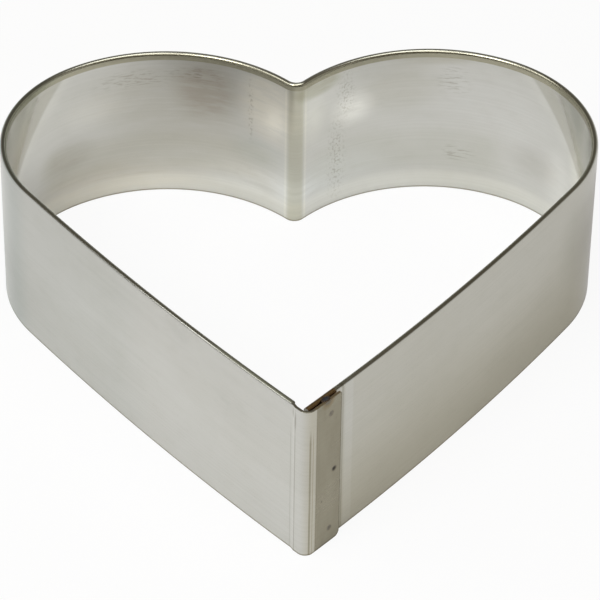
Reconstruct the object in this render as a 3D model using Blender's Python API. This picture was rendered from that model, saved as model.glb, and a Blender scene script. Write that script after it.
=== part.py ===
"""Heart-shaped cake ring.

One strip of stainless sheet is bent to a heart. Its top edge is hemmed inwards. Its left end turns round the tip
and lies as a plain tab on the outside of the right wall, where three spot welds and a tack weld hold it.
Metres, +Z up. The origin is under the middle of the ring, and the tip of the heart points along -Y.
"""

import math
from collections import namedtuple

import bmesh
import bpy
from mathutils import Matrix, Vector

MM = 0.001

# The heart from above, on the outer face of the sheet. The shoulders' centres lie on one line across the ring.
WIDTH = 200 * MM
REACH = 139.5 * MM
TIP_ASIDE = -3 * MM
SHOULDER_RADIUS = 49 * MM
CROWN_RADIUS = 60.5 * MM
CROWN_JOIN = math.radians(60)
CLEFT_RADIUS = 3 * MM
RIGHT_BOW = 1000 * MM
LEFT_BOW = 1150 * MM

# The wall and the hem along its top edge
HEIGHT = 60 * MM
SHEET = 0.9 * MM
EDGE_BREAK = 0.12 * MM
HEM_GAP = 0.3 * MM
HEM_FLAP = 1.65 * MM

# The lap at the tip
TIP_INNER_RADIUS = 2.3 * MM
LAP_GAP = 0.7 * MM
TAB_LENGTH = 12.5 * MM
TAB_FOOT_CORNER = 2 * MM
TAB_TOP_CORNER = 0.6 * MM
HEM_NOTCH = 4.6 * MM
NOTCH_RUN = 0.3 * MM
CREASE_START = 3.5 * MM
CREASE_RUN = 1.4 * MM
CREASE_STEP = 0.35 * MM
END_CLEARANCE = 0.35 * MM

# The welds
SPOT_DIAMETER = 2.2 * MM
SPOT_DISH = 0.2 * MM
SPOT_RIM = 0.3 * MM
SPOT_INSET = 6 * MM
SPOT_FROM_FREE_EDGE = {"upper": 4.8 * MM, "middle": 2.9 * MM, "lower": 4.8 * MM}
TACK_LENGTH = 3.6 * MM
TACK_WIDTH = 2.4 * MM
TACK_DEPTH = 0.9 * MM
TACK_CROWN = 0.2 * MM
WELD_CLEARANCE = 0.2 * MM

# How finely round forms are divided
ARC_STEP = math.radians(4)
CLEFT_STEP = math.radians(10)
LONGEST_STEP = 12 * MM
FOLD_STEPS = 8
GAP_STEPS = 4
FLAP_POINTS = 3
CORNER_STEPS = 4
SPOT_SIDES = 20
TACK_SIDES = 20
TACK_BANDS = 10
SHARP_ANGLE = math.radians(35)

# Worked out from the sizes above
TIP_RADIUS = TIP_INNER_RADIUS + SHEET
FOLD_RADIUS = SHEET + HEM_GAP / 2
TAB_BOW = RIGHT_BOW + LAP_GAP + SHEET

# facing is 1 where the outer face of the sheet looks away from the arc's centre, and -1 where it looks towards it
Arc = namedtuple("Arc", "centre radius start end facing step")


def polar(angle, length=1.0):
    """Point of the plan at an angle and a distance from the origin."""
    return Vector((math.cos(angle), math.sin(angle))) * length


def bearing(start, end):
    """Direction from one point of the plan to another, in radians."""
    return math.atan2(end.y - start.y, end.x - start.x)


def meeting(first, first_radius, second, second_radius, towards):
    """The point where two circles meet, of the two the one nearer to a given point."""
    apart = (second - first).length
    along = (first_radius**2 - second_radius**2 + apart**2) / (2 * apart)
    aside = math.sqrt(max(first_radius**2 - along**2, 0))
    line = (second - first).normalized()
    foot = first + line * along
    swing = Vector((-line.y, line.x)) * aside
    return min((foot + swing, foot - swing), key=lambda point: (point - towards).length)


def lay_out():
    """The strip's run seen from above as arcs that touch, from its end behind the lap, round the heart, to the tab."""
    shoulder = Vector((WIDTH / 2 - SHOULDER_RADIUS, 0))
    crown = shoulder + polar(CROWN_JOIN, SHOULDER_RADIUS - CROWN_RADIUS)
    cleft = Vector((0, crown.y + math.sqrt((CROWN_RADIUS + CLEFT_RADIUS) ** 2 - crown.x**2)))
    left_shoulder = Vector((-shoulder.x, shoulder.y))
    left_crown = Vector((-crown.x, crown.y))

    tip = Vector((TIP_ASIDE, -REACH))
    behind_left = Vector((-RIGHT_BOW, RIGHT_BOW))
    behind_right = Vector((LEFT_BOW, LEFT_BOW))
    right = meeting(tip, RIGHT_BOW, shoulder, RIGHT_BOW - SHOULDER_RADIUS, behind_left)
    left = meeting(tip, LEFT_BOW, left_shoulder, LEFT_BOW - SHOULDER_RADIUS, behind_right)
    nose = meeting(right, TAB_BOW - TIP_RADIUS, left, LEFT_BOW + CREASE_STEP - TIP_RADIUS, tip)

    lap_start = bearing(right, nose)
    to_corner = (TIP_INNER_RADIUS - END_CLEARANCE) ** 2 - (TIP_INNER_RADIUS - LAP_GAP) ** 2
    tuck = math.sqrt(max(to_corner, 0)) / RIGHT_BOW
    crown_end = bearing(crown, cleft)
    left_start = bearing(left, left_shoulder) % math.tau
    nose_start = bearing(left, nose) % math.tau

    middle = Vector((0, (crown.y + CROWN_RADIUS + nose.y - TIP_RADIUS) / 2))
    runs = {
        "right_side": (right, RIGHT_BOW, lap_start - tuck, bearing(right, shoulder), 1, ARC_STEP),
        "right_shoulder": (shoulder, SHOULDER_RADIUS, bearing(right, shoulder), CROWN_JOIN, 1, ARC_STEP),
        "right_crown": (crown, CROWN_RADIUS, CROWN_JOIN, crown_end, 1, ARC_STEP),
        "cleft": (cleft, CLEFT_RADIUS, crown_end - math.pi, -crown_end, -1, CLEFT_STEP),
        "left_crown": (left_crown, CROWN_RADIUS, math.pi - crown_end, math.pi - CROWN_JOIN, 1, ARC_STEP),
        "left_shoulder": (left_shoulder, SHOULDER_RADIUS, math.pi - CROWN_JOIN, left_start, 1, ARC_STEP),
        "left_side": (left, LEFT_BOW, left_start, nose_start, 1, ARC_STEP),
        "nose": (nose, TIP_RADIUS, nose_start, lap_start + math.tau, 1, CLEFT_STEP),
        "tab": (right, TAB_BOW, lap_start, lap_start + TAB_LENGTH / TAB_BOW, 1, ARC_STEP),
    }
    return {name: Arc(centre - middle, *rest) for name, (centre, *rest) in runs.items()}


def round_turn(inset, height, radius, start, end, steps):
    """Points of a half circle in the upright section, as insets from the outer face and heights."""
    turn = []
    for step in range(steps + 1):
        angle = math.radians(start + (end - start) * step / steps)
        turn.append((inset + radius * math.cos(angle), height + radius * math.sin(angle)))
    return turn


def hemmed_section():
    """The wall with its top edge folded inwards and down, as one closed outline that starts at the outer foot."""
    roof = HEIGHT - FOLD_RADIUS
    lip = roof - HEM_FLAP
    far = 2 * FOLD_RADIUS
    outline = [(EDGE_BREAK, 0), (0, EDGE_BREAK)]
    outline += round_turn(FOLD_RADIUS, roof, FOLD_RADIUS, 180, 0, FOLD_STEPS)
    outline += [(far, lip + EDGE_BREAK), (far - EDGE_BREAK, lip), (SHEET + HEM_GAP, lip)]
    outline += round_turn(FOLD_RADIUS, roof, HEM_GAP / 2, 0, 180, GAP_STEPS)
    outline += [(SHEET, EDGE_BREAK), (SHEET - EDGE_BREAK, 0)]
    return outline


def plain_section(foot=0.0, top=HEIGHT):
    """The single sheet with as many points as the hemmed wall: the hem's points lie down its inner face."""
    crown = SHEET / 2
    laid = FLAP_POINTS + GAP_STEPS + 1
    pitch = (FOLD_RADIUS + HEM_FLAP) / laid
    outline = [(EDGE_BREAK, foot), (0, foot + EDGE_BREAK)]
    outline += round_turn(crown, top - crown, crown, 180, 0, FOLD_STEPS)
    outline += [(SHEET, top - crown - pitch * (step + 1)) for step in range(laid)]
    outline += [(SHEET, foot + EDGE_BREAK), (SHEET - EDGE_BREAK, foot)]
    return outline


def stand(arc, angle, section, proud=0.0):
    """The section stood upright on an arc, as one ring of points. proud moves it outwards."""
    ring = []
    for inset, height in section:
        spot = arc.centre + polar(angle, arc.radius + proud - arc.facing * inset)
        ring.append(Vector((spot.x, spot.y, height)))
    return ring


def steps_of(arc, start, end):
    """Angles that divide a stretch of an arc evenly, without its start."""
    turned = abs(end - start)
    steps = max(math.ceil(turned / arc.step), math.ceil(turned * arc.radius / LONGEST_STEP), 1)
    return [start + (end - start) * step / steps for step in range(1, steps + 1)]


def corner_cut(distance, radius):
    """How far a round corner has cut in at a distance from the free edge."""
    if distance >= radius:
        return 0.0
    return radius - math.sqrt(radius**2 - (radius - distance) ** 2)


def strip_rings(run):
    """The rings of the whole strip in order."""
    hemmed = hemmed_section()
    plain = plain_section()
    first = run["right_side"]
    rings = [stand(first, first.start, hemmed)]
    for name in ("right_side", "right_shoulder", "right_crown", "cleft", "left_crown", "left_shoulder"):
        arc = run[name]
        rings += [stand(arc, angle, hemmed) for angle in steps_of(arc, arc.start, arc.end)]

    left = run["left_side"]
    notch = left.end - HEM_NOTCH / left.radius
    rings += [stand(left, angle, hemmed) for angle in steps_of(left, left.start, notch)]
    rings.append(stand(left, notch + NOTCH_RUN / left.radius, plain))
    crease = left.end - CREASE_START / left.radius
    rings.append(stand(left, crease, plain))
    rings.append(stand(left, crease + CREASE_RUN / left.radius, plain, CREASE_STEP))
    rings.append(stand(left, left.end, plain, CREASE_STEP))

    nose = run["nose"]
    rings += [stand(nose, angle, plain) for angle in steps_of(nose, nose.start, nose.end)]

    tab = run["tab"]
    corner = tab.end - TAB_FOOT_CORNER / tab.radius
    rings += [stand(tab, angle, plain) for angle in steps_of(tab, tab.start, corner)]
    for step in range(1, CORNER_STEPS + 1):
        distance = TAB_FOOT_CORNER * (1 - math.sin(math.pi / 2 * step / CORNER_STEPS))
        foot = corner_cut(distance, TAB_FOOT_CORNER)
        top = HEIGHT - corner_cut(distance, TAB_TOP_CORNER)
        rings.append(stand(tab, tab.end - distance / tab.radius, plain_section(foot, top)))
    return rings


def sweep(bm, rings):
    """Extrudes the first ring through all the others and closes both ends."""
    verts = [bm.verts.new(point) for point in rings[0]]
    edges = [bm.edges.new((verts[i - 1], verts[i])) for i in range(len(verts))]
    bm.faces.new(verts)
    for ring in rings[1:]:
        grown = bmesh.ops.extrude_edge_only(bm, edges=edges)["geom"]
        fresh = {item for item in grown if isinstance(item, bmesh.types.BMVert)}
        edges = [item for item in grown if isinstance(item, bmesh.types.BMEdge)]
        edges = [edge for edge in edges if fresh.issuperset(edge.verts)]
        verts = [next(edge.other_vert(vert) for edge in vert.link_edges if edge.other_vert(vert) in fresh)
                 for vert in verts]
        for vert, point in zip(verts, ring):
            vert.co = point
    bm.faces.new(verts)


def metal(name, colour, roughness):
    """A bare metal finish."""
    material = bpy.data.materials.new(name)
    material.use_nodes = True
    shader = material.node_tree.nodes["Principled BSDF"]
    shader.inputs["Base Color"].default_value = (*colour, 1)
    shader.inputs["Metallic"].default_value = 1
    shader.inputs["Roughness"].default_value = roughness
    material.diffuse_color = (*colour, 1)
    return material


def finish(name, bm, material=None):
    """Turns a bmesh into a smooth-shaded object with its faces pointing outwards."""
    bmesh.ops.recalc_face_normals(bm, faces=bm.faces)
    mesh = bpy.data.meshes.new(name)
    bm.to_mesh(mesh)
    bm.free()
    mesh.shade_smooth()
    mesh.set_sharp_from_angle(angle=SHARP_ANGLE)
    if material:
        mesh.materials.append(material)
    item = bpy.data.objects.new(name, mesh)
    bpy.context.scene.collection.objects.link(item)
    return item


def cut(body, cutter):
    """Takes a guide shape away from a body and hides the guide."""
    cutter.hide_render = True
    cutter.display_type = "WIRE"
    modifier = body.modifiers.new(cutter.name, "BOOLEAN")
    modifier.operation = "DIFFERENCE"
    modifier.solver = "EXACT"
    modifier.object = cutter


def even_out(body):
    """Weighs the shading by the size of the faces, so that cuts leave no marks on the flat walls round them."""
    modifier = body.modifiers.new("even_shading", "WEIGHTED_NORMAL")
    modifier.keep_sharp = True


def lap_frame(run, from_free_edge, height, outwards):
    """Axes on the lap: X along it towards the tip, Y away from the ring, Z up. outwards is from the wall."""
    tab = run["tab"]
    angle = tab.end - from_free_edge / tab.radius
    spot = tab.centre + polar(angle, RIGHT_BOW + outwards)
    turned = Matrix.Rotation(angle - math.pi / 2, 4, "Z")
    return Matrix.Translation((spot.x, spot.y, height)) @ turned


def spot_plug(radius, low, high, dish=0.0):
    """A round plug that stands on the wall with its axis outwards, dished at its outer end."""
    bm = bmesh.new()
    bmesh.ops.create_cone(
        bm, cap_ends=True, segments=SPOT_SIDES, radius1=radius, radius2=radius, depth=high - low,
        matrix=Matrix.Translation((0, 0, (low + high) / 2)))
    if dish:
        outer = [face for face in bm.faces if face.normal.z > 0.5]
        bmesh.ops.inset_region(bm, faces=outer, thickness=SPOT_RIM)
        bmesh.ops.translate(bm, verts=outer[0].verts, vec=(0, 0, -dish))
    return bm


def tack_pool(length, width, depth, crown):
    """An oval pool of weld: deep below the rim and slightly crowned above it."""
    bm = bmesh.new()
    bmesh.ops.create_uvsphere(bm, u_segments=TACK_SIDES, v_segments=TACK_BANDS, radius=1)
    for vert in bm.verts:
        rise = crown if vert.co.z > 0 else depth
        vert.co = (vert.co.x * length / 2, vert.co.y * width / 2, vert.co.z * rise)
    return bm


def make_spot_welds(run, band, material):
    """Three spot welds: each plug stands on the wall and fills its seat in the tab."""
    heights = {"upper": HEIGHT - SPOT_INSET, "middle": HEIGHT / 2, "lower": SPOT_INSET}
    outer_face = LAP_GAP + SHEET
    upright = Matrix.Rotation(-math.pi / 2, 4, "X")
    welds = []
    for place, height in heights.items():
        frame = lap_frame(run, SPOT_FROM_FREE_EDGE[place], height, 0.0) @ upright
        plug = spot_plug(SPOT_DIAMETER / 2, WELD_CLEARANCE, outer_face, SPOT_DISH)
        weld = finish("spot_weld_" + place, plug, material)
        weld.matrix_world = frame
        seat_bm = spot_plug(SPOT_DIAMETER / 2 + WELD_CLEARANCE, LAP_GAP / 2, outer_face + SHEET)
        seat = finish("spot_seat_" + place, seat_bm)
        seat.matrix_world = frame
        cut(band, seat)
        welds.append(weld)
    return welds


def make_tack_weld(run, band, material):
    """The tack weld fills the valley between the two layers at the middle of the lap's top edge."""
    frame = lap_frame(run, TAB_LENGTH / 2, HEIGHT, LAP_GAP / 2)
    weld = finish("tack_weld_top", tack_pool(TACK_LENGTH, TACK_WIDTH, TACK_DEPTH, TACK_CROWN), material)
    weld.matrix_world = frame
    grown = 2 * WELD_CLEARANCE
    seat_bm = tack_pool(
        TACK_LENGTH + grown, TACK_WIDTH + grown, TACK_DEPTH + WELD_CLEARANCE, TACK_CROWN + WELD_CLEARANCE)
    seat = finish("tack_seat", seat_bm)
    seat.matrix_world = frame
    cut(band, seat)
    return weld


def make_band(run, material):
    """The strip itself."""
    bm = bmesh.new()
    sweep(bm, strip_rings(run))
    return finish("heart_band", bm, material)


def main():
    for item in list(bpy.data.objects):
        bpy.data.objects.remove(item)
    run = lay_out()
    sheet = metal("stainless_sheet", (0.66, 0.65, 0.61), 0.28)
    tinted = metal("tinted_weld", (0.16, 0.14, 0.13), 0.45)
    band = make_band(run, sheet)
    welds = make_spot_welds(run, band, tinted)
    welds.append(make_tack_weld(run, band, tinted))
    even_out(band)
    ring = bpy.data.objects.new("cake_ring", None)
    bpy.context.scene.collection.objects.link(ring)
    for piece in [band, *welds]:
        piece.parent = ring


main()
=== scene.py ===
"""A heart-shaped cake ring of stainless sheet, with its finish, on a pale studio floor.

The file is laid out as an add-on and is run as a script. Metres, +Z up, the tip of the heart towards -Y.
"""

import math
from collections import namedtuple

import bmesh
import bpy
from bpy.props import FloatProperty, FloatVectorProperty, PointerProperty
from mathutils import Matrix, Vector


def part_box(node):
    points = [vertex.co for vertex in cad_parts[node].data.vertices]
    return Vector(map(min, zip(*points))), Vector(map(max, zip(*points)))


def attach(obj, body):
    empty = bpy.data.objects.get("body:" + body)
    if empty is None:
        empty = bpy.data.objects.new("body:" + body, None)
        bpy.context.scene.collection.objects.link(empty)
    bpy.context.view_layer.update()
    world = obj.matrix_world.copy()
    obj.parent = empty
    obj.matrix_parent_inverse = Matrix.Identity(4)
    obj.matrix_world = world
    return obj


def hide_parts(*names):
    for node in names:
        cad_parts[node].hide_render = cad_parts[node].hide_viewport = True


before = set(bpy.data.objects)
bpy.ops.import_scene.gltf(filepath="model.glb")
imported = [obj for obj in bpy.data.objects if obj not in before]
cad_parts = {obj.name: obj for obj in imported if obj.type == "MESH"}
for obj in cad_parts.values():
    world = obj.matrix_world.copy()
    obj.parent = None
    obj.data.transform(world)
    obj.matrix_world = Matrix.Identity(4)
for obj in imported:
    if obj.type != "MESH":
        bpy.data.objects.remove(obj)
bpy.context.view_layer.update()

bl_info = {
    "name": "Heart cake ring",
    "version": (1, 0, 0),
    "blender": (4, 5, 0),
    "location": "View3D > Sidebar > Cake ring",
    "description": "Builds a hemmed stainless heart ring, its lapped and welded tip, and a studio stage",
    "category": "Mesh",
}

MM = 0.001
BAND_LOW, BAND_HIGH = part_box("heart_band")
TACK_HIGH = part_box("tack_weld_top")[1]

# Names of the layers that carry a place from the mesh to the materials: along and across the strip, and from
# the middle of a weld outwards
ALONG = "along"
ACROSS = "across"
OUTWARDS = "outwards"

# Edges of the sheet that bend by more than this are cut edges
SQUARE_EDGE = math.radians(60)

# Rounding of the plain top edge by the tip, as a share of the sheet's thickness
PLAIN_EDGE_SHARE = 0.45

# A nugget's skin keeps a crease past this angle, and its points merge within this distance
SKIN_CREASE = math.radians(40)
MERGE_DISTANCE = 0.001 * MM

# Material slots of the band
OUTER, INNER, CUT = range(3)

# Azimuth is from +Y through +X, so 180 degrees is the camera's side and 270 the left. Energy is in watts.
Softbox = namedtuple("Softbox", "name azimuth elevation size energy")
SOFTBOXES = (
    Softbox("key_softbox", math.radians(226), math.radians(54), 1.0, 19),
    Softbox("top_softbox", math.radians(120), math.radians(76), 1.1, 11),
    Softbox("front_softbox", math.radians(182), math.radians(56), 0.8, 5),
    Softbox("side_softbox", math.radians(268), math.radians(44), 0.8, 5),
)

# How much of the white background the floor shows, to the camera and in the metal
FLOOR_WHITE_TO_CAMERA = 0.9
FLOOR_WHITE_TO_METAL = 0.08
FLOOR_ROUGHNESS = 0.9
SENSOR_WIDTH_MM = 36

# What the metal mirrors above the floor, as heights of a direction: pale panel overhead, dark room below it,
# and a pale table's edge along the horizon, missing on the camera's side. SHOWN is the share of white.
OVERHEAD_FADE = (0.84, 0.93)
HORIZON_FADE = (0.3, 0.42)
CAMERA_SIDE_FADE = (-0.85, -0.55)
OVERHEAD_SHOWN = 0.6
HORIZON_SHOWN = 0.65

# Painted reflections on the lobes' inside: soft darker and paler patches, in millimetres. aside is from the
# cleft, positive in the left lobe.
LobeReflection = namedtuple("LobeReflection", "aside across half_length half_height softness tone")
LOBE_REFLECTIONS = (
    (35, 45, 10, 11, 0.55, (0.84, 0.8, 0.76)),
    (50, 42, 26, 13, 0.7, (0.9, 0.885, 0.85)),
    (30, 28, 24, 6, 0.8, (0.95, 0.94, 0.92)),
    (76, 38.5, 9, 5, 0.9, (1.12, 1.12, 1.12)),
    (11, 46, 10, 13, 0.6, (1.26, 1.22, 1.15)),
    (8, 40, 4, 5, 0.8, (1.12, 1.12, 1.12)),
    (14, 24, 11, 6, 0.6, (0.94, 0.96, 0.97)),
    (14, 11, 20, 5, 0.8, (1.17, 1.18, 1.2)),
    (-14, 14, 18, 7, 0.8, (1.1, 1.12, 1.14)),
    (-9, 54.5, 9, 4, 0.35, (0.79, 0.78, 0.7)),
    (-6, 42, 5, 8, 0.8, (1.12, 1.12, 1.1)),
    (-24, 39, 6, 5, 0.9, (1.34, 1.34, 1.34)),
    (-42, 45, 13, 9, 0.6, (0.92, 0.91, 0.88)),
    (-80, 38, 20, 15, 0.8, (1.07, 1.07, 1.08)),
    (-93, 20.5, 9, 6, 0.7, (0.89, 0.88, 0.87)),
    (-54, 57, 12, 3, 0.6, (0.86, 0.84, 0.79)),
    (-106, 18, 7, 11, 0.7, (1.14, 1.14, 1.14)),
    (-117, 32, 5, 14, 0.7, (1.16, 1.16, 1.14)),
    (87, 23, 9, 6, 0.6, (0.88, 0.87, 0.85)),
    (75, 5, 34, 8, 0.7, (1.05, 1.02, 0.97)),
)

# Painted reflection of shadows on the floor: broad grey bands of the lobes, from aside to aside, with their
# tone
LOBE_SHADOW_REFLECTIONS = (
    (8 * MM, 98 * MM, (0.89, 0.875, 0.83)),
    (-78 * MM, -6 * MM, (0.94, 0.94, 0.92)),
)

# Painted reflection of the walls at the lobes' ends: darker beyond an edge that runs through a place and
# leans away from the cleft on the way down
LobeEnd = namedtuple("LobeEnd", "side aside across lean")
LOBE_END_REFLECTIONS = (LobeEnd(1, 89.9 * MM, 53.8 * MM, 0.975), LobeEnd(-1, 91.5 * MM, 54.4 * MM, 1.012))

# Scuffs and ripples on the lobes' inside: strokes of a length and a pitch within an oval
Scuff = namedtuple("Scuff", "aside across half_length half_height softness stroke pitch")
SCUFFS = (
    Scuff(61 * MM, 49 * MM, 11 * MM, 3 * MM, 0.8, 4 * MM, 0.7 * MM),
    Scuff(38 * MM, 51 * MM, 8 * MM, 2.5 * MM, 0.8, 4 * MM, 0.7 * MM),
    Scuff(18.5 * MM, 41 * MM, 1 * MM, 12 * MM, 0.4, 1 * MM, 1.1 * MM),
    Scuff(-61 * MM, 47 * MM, 5 * MM, 5 * MM, 0.8, 5 * MM, 0.8 * MM),
    Scuff(-63 * MM, 16 * MM, 5 * MM, 3 * MM, 0.8, 5 * MM, 0.7 * MM),
    Scuff(-21 * MM, 46 * MM, 3 * MM, 8 * MM, 0.8, 0.9 * MM, 1 * MM),
    Scuff(-17.5 * MM, 20 * MM, 3 * MM, 14 * MM, 0.8, 0.9 * MM, 1.2 * MM),
)

# Where along the strip the right wall comes out from under the tab
BESIDE_TAB = 16.5 * MM

# The painted shade of the folded rim, a dark reflection line, sets in over this stretch, counted from the
# ring's height
FOLD_FADE = (-0.45 * MM, 0.2 * MM)

# Lines that the bend left at the nose: from the nose's start, with their width, strength and tone
NOSE_LINES = (
    (-4.3 * MM, 0.3 * MM, 0.4, (0.5, 0.48, 0.42)),
    (-2.1 * MM, 0.35 * MM, 0.6, (0.5, 0.48, 0.42)),
    (3.5 * MM, 0.6 * MM, 0.95, (0.62, 0.6, 0.53)),
    (4.7 * MM, 0.3 * MM, 0.8, (0.7, 0.67, 0.6)),
)

# Nicks under the rim at the nose: from the nose's start, place across, half length and half height
NOSE_NICKS = (
    (-3.1 * MM, 57.2 * MM, 0.3 * MM, 1.6 * MM),
    (-1.9 * MM, 54.5 * MM, 0.35 * MM, 3.5 * MM),
)

# Smudges on the left wall: how far before the nose, and place across
SMUDGES = ((57.5 * MM, 54 * MM), (32.5 * MM, 42 * MM))

# Stretches of the outer face toned darker and bluer: start, end, softness of the ends, strength and tone
OUTER_STRETCHES = (
    (450 * MM, 530 * MM, 12 * MM, 1.0, (0.94, 0.95, 0.95)),
    (400 * MM, 467 * MM, 6 * MM, 1.0, (0.84, 0.875, 0.88)),
)

# The painted shadow line and the painted highlight strip that lie on the wall beside the tab, in the same way
BESIDE_TAB_SHADOW_AND_HIGHLIGHT = (
    (BESIDE_TAB - 1 * MM, BESIDE_TAB + 0.05 * MM, 0.15 * MM, 0.8, (0.7, 0.69, 0.65)),
    (BESIDE_TAB + 0.8 * MM, BESIDE_TAB + 4.5 * MM, 0.4 * MM, 1.0, (1.06, 1.07, 1.1)),
)

# A spot weld's mark is the cap of a ball pressed into the tab. Bands run from middle to edge, sides round it.
SPOT_BANDS = 10
SPOT_SIDES = 48
BALL_BANDS = 96
TACK_SIDES = 64
TACK_BANDS = 32
TACK_RIDGES = 2

# Colours of weld metal: in its middle, at its rim, and of the scale on it
WeldTone = namedtuple("WeldTone", "middle rim scale")
SPOT_TONES = {
    "upper": WeldTone((0.24, 0.22, 0.18), (0.29, 0.27, 0.22), (0.21, 0.195, 0.16)),
    "middle": WeldTone((0.035, 0.033, 0.028), (0.25, 0.23, 0.18), (0.12, 0.11, 0.085)),
    "lower": WeldTone((0.2, 0.185, 0.15), (0.27, 0.25, 0.2), (0.17, 0.155, 0.125)),
}
SPOT_ROUGHNESS = 0.3
TACK_ROUGHNESS = 0.34
TACK_TONE = WeldTone((0.06, 0.065, 0.075), (0.1, 0.07, 0.045), (0.03, 0.028, 0.028))

# facing is 1 where the sheet's outer face looks away from the arc's centre, and -1 where it looks towards it
Arc = namedtuple("Arc", "centre radius start end facing")


def length_property(name, description, default):
    """A size that the panel shows in scene units."""
    return FloatProperty(name=name, description=description, default=default, unit="LENGTH")


def angle_property(name, description, degrees):
    """An angle of the plan or of the camera."""
    return FloatProperty(name=name, description=description, default=math.radians(degrees), subtype="ANGLE")


def colour_property(name, description, default):
    """A colour of the ring or of its studio."""
    return FloatVectorProperty(
        name=name, description=description, default=default, subtype="COLOR", size=3, min=0, max=1)


class StripSizes(bpy.types.PropertyGroup):
    """The strip of sheet and the heart that it is bent to, measured on the sheet's outer face."""

    width: length_property("Width", "Across both lobes", BAND_HIGH.x - BAND_LOW.x)
    height: length_property("Height", "From foot to rim", BAND_HIGH.z - BAND_LOW.z)
    reach: length_property("Reach", "From the shoulders' line to the point of the tip", 139.5 * MM)
    tip_aside: length_property("Tip aside", "How far the tip stands off the middle", -3 * MM)
    shoulder_radius: length_property("Shoulder radius", "Bend at the outside of each lobe", 49 * MM)
    crown_radius: length_property("Crown radius", "Bend over the top of each lobe", 60.5 * MM)
    crown_join: angle_property("Crown join", "Bearing at which shoulder and crown meet", 60)
    cleft_radius: length_property("Cleft radius", "Bend between the lobes", 3 * MM)
    right_bow: length_property("Right bow", "Radius of the right side", 1000 * MM)
    left_bow: length_property("Left bow", "Radius of the left side", 1150 * MM)
    sheet: length_property("Sheet", "Thickness of the metal", 0.9 * MM)
    edge_break: length_property("Edge break", "Rounding of the cut edges", 0.12 * MM)
    hem_gap: length_property("Hem gap", "Space left inside the folded rim", 0.3 * MM)
    hem_flap: length_property("Hem flap", "Straight part of the folded rim", 1.65 * MM)


class LapSizes(bpy.types.PropertyGroup):
    """The bend at the tip and the tab that laps the right side."""

    tip_inner_radius: length_property("Tip inner radius", "Inside of the bend at the tip", 2.3 * MM)
    lap_gap: length_property("Lap gap", "Space between the tab and the wall behind it", 0.7 * MM)
    tab_length: length_property("Tab length", "From the bend to the free edge", 12.5 * MM)
    foot_corner: length_property("Foot corner", "Round of the tab's lower corner", 2 * MM)
    top_corner: length_property("Top corner", "Round of the tab's upper corner", 0.6 * MM)
    hem_notch: length_property("Hem notch", "Where the hem ends before the bend", 4.6 * MM)
    notch_run: length_property("Notch run", "Length over which the hem opens out", 0.3 * MM)
    crease_start: length_property("Crease start", "Where the sheet steps out before the bend", 3.5 * MM)
    crease_run: length_property("Crease run", "Length of that step", 1.4 * MM)
    crease_step: length_property("Crease step", "How far the sheet steps out", 0.35 * MM)
    end_clearance: length_property("End clearance", "Space round the wall's end in the bend", 0.35 * MM)


class WeldSizes(bpy.types.PropertyGroup):
    """The spot welds' dished marks and the tack weld's bead."""

    spot_diameter: length_property("Spot diameter", "Width of a spot weld's mark", 2.2 * MM)
    spot_dish: length_property("Spot dish", "Depth that a spot weld is pressed into the tab", 0.2 * MM)
    spot_proud: length_property("Spot proud", "How far the nugget's skin stands out of its dish", 0.03 * MM)
    spot_inset: length_property("Spot inset", "Upper and lower spot weld from rim and foot", 6 * MM)
    outer_spots: length_property("Outer spots", "Upper and lower spot weld from the free edge", 4.8 * MM)
    middle_spot: length_property("Middle spot", "Middle spot weld from the free edge", 2.9 * MM)
    tack_crown: length_property(
        "Tack crown", "How far the tack weld stands above the rim", TACK_HIGH.z - BAND_HIGH.z)
    tack_ripple: length_property("Tack ripple", "Depth of the ripples on the tack weld", 0.07 * MM)
    tack_length: length_property("Tack length", "Along the lap", 3.6 * MM)
    tack_width: length_property("Tack width", "Across the two layers", 2.4 * MM)
    tack_depth: length_property("Tack depth", "Down into the valley", 0.9 * MM)


class SheetFinish(bpy.types.PropertyGroup):
    """Colours and polish of the sheet."""

    steel: colour_property("Steel", "The sheet's own colour", (0.63, 0.633, 0.605))
    edge: colour_property("Edge", "Colour of the sheared edges", (0.5, 0.49, 0.46))
    # Partly heat and handling tint, partly painted shade where the tab mirrors a darker part of the room
    tab_tint_and_shade: colour_property(
        "Tab tint", "What handling and heat leave of the tab's colour", (0.62, 0.6, 0.535))
    roughness: FloatProperty(
        name="Roughness", description="Of clean sheet between the grain lines", default=0.09, min=0, max=1)


class StudioSettings(bpy.types.PropertyGroup):
    """The camera and the light of the studio."""

    elevation: angle_property("Elevation", "Camera above the horizon", 39.449)
    azimuth: angle_property("Azimuth", "Camera round to the left of the tip", 2.506)
    roll: angle_property("Roll", "Camera about its own axis", 0.924)
    distance: length_property("Distance", "Camera from the middle of the ring", 1.2706)
    lens: FloatProperty(name="Lens", description="Focal length in millimetres", default=230.93)
    light_distance: length_property("Light distance", "Softboxes from the middle of the ring", 2.0)
    shift_x: FloatProperty(name="Shift X", description="Framing to the side", default=-0.0047)
    shift_y: FloatProperty(name="Shift Y", description="Framing up and down", default=-0.0144)
    floor_size: length_property("Floor size", "Side of the floor", 6)
    floor: colour_property("Floor", "Colour of the floor", (0.8, 0.8, 0.8))
    surround: colour_property("Surround", "Dim room round the softboxes", (0.17, 0.15, 0.12))


def polar(angle, length=1.0):
    """Point of the plan at an angle and a distance from the origin."""
    return Vector((math.cos(angle), math.sin(angle))) * length


def bearing(start, end):
    """Direction from one point of the plan to another, in radians."""
    return math.atan2(end.y - start.y, end.x - start.x)


def meeting(first, first_radius, second, second_radius, towards):
    """The point where two circles meet, of the two the one nearer to a given point."""
    apart = (second - first).length
    along = (first_radius**2 - second_radius**2 + apart**2) / (2 * apart)
    aside = math.sqrt(max(first_radius**2 - along**2, 0))
    line = (second - first).normalized()
    foot = first + line * along
    swing = Vector((-line.y, line.x)) * aside
    return min((foot + swing, foot - swing), key=lambda point: (point - towards).length)


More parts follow.
